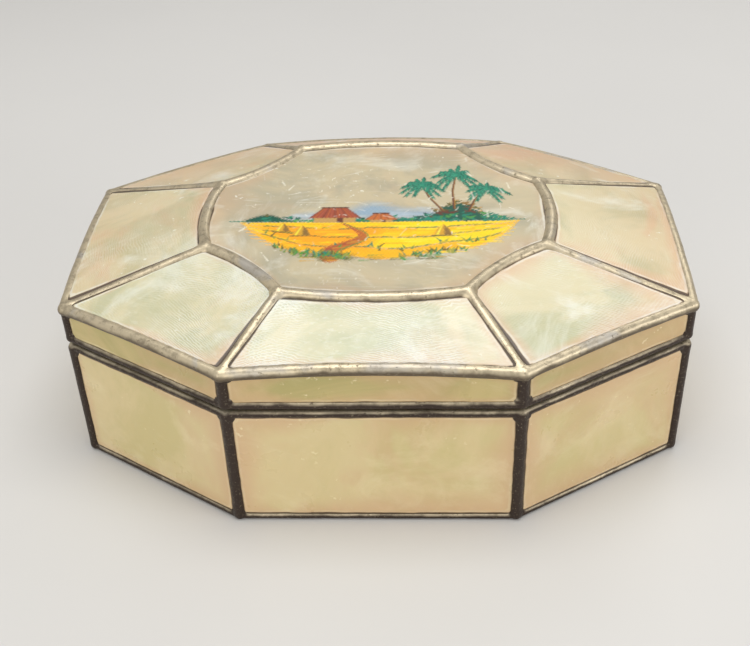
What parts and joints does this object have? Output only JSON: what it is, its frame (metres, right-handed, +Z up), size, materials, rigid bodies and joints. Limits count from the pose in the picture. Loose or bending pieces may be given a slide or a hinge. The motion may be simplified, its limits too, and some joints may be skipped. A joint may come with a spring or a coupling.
{
  "type": "trinket box",
  "caption": "Eight-sided shell-pane trinket box with a hinged, gently crowned lid, its panes held in soldered metal cames.",
  "frame": {"origin": "centre of the octagon on the underside of the base came, where the box rests", "axes": "+X along the long axis to the right of the front, +Y from the front to the hinge side, +Z up"},
  "size_m": [0.2038, 0.1466, 0.0743],
  "materials": {
    "wall_shell": "polished shell, khaki cream",
    "lid_shell": "pearly shell, pale cream green",
    "painted_shell": "pearly shell with a small hand-painted landscape",
    "bright_came": "tarnished pewter, rubbed bright on top",
    "dark_came": "dark brown patina",
    "pin_brass": "dull brass wire"
  },
  "bodies": {
    "box": {"floor_pane": "wall_shell", "base_rim": "dark_came", "body_rim": "dark_came", "body_knuckle_left": "dark_came", "body_knuckle_right": "dark_came", "hinge_pin": "pin_brass", "wall_pane_front": "wall_shell", "wall_pane_front_right": "wall_shell", "wall_pane_right": "wall_shell", "wall_pane_back_right": "wall_shell", "wall_pane_back": "wall_shell", "wall_pane_back_left": "wall_shell", "wall_pane_left": "wall_shell", "wall_pane_front_left": "wall_shell", "body_post_front_left": "dark_came", "body_post_front_right": "dark_came", "body_post_right_front": "dark_came", "body_post_right_back": "dark_came", "body_post_back_right": "dark_came", "body_post_back_left": "dark_came", "body_post_left_back": "dark_came", "body_post_left_front": "dark_came"},
    "lid": {"lid_lower_rim": "dark_came", "lid_top_rim": "bright_came", "medallion_came": "bright_came", "medallion_pane": "painted_shell", "lid_knuckle": "dark_came", "band_pane_front": "wall_shell", "band_pane_front_right": "wall_shell", "band_pane_right": "wall_shell", "band_pane_back_right": "wall_shell", "band_pane_back": "wall_shell", "band_pane_back_left": "wall_shell", "band_pane_left": "wall_shell", "band_pane_front_left": "wall_shell", "lid_post_front_left": "dark_came", "lid_post_front_right": "dark_came", "lid_post_right_front": "dark_came", "lid_post_right_back": "dark_came", "lid_post_back_right": "dark_came", "lid_post_back_left": "dark_came", "lid_post_left_back": "dark_came", "lid_post_left_front": "dark_came", "top_pane_front": "lid_shell", "top_pane_front_right": "lid_shell", "top_pane_right": "lid_shell", "top_pane_back_right": "lid_shell", "top_pane_back": "lid_shell", "top_pane_back_left": "lid_shell", "top_pane_left": "lid_shell", "top_pane_front_left": "lid_shell", "rib_front_left": "bright_came", "rib_front_right": "bright_came", "rib_right_front": "bright_came", "rib_right_back": "bright_came", "rib_back_right": "bright_came", "rib_back_left": "bright_came", "rib_left_back": "bright_came", "rib_left_front": "bright_came"}
  },
  "joints": [
    {"name": "lid_hinge", "type": "hinge", "parent": "box", "child": "lid", "pos_m": [0, 0.0732, 0.0466], "axis": [-1, 0, 0], "range_deg": [0, 180]}
  ]
}
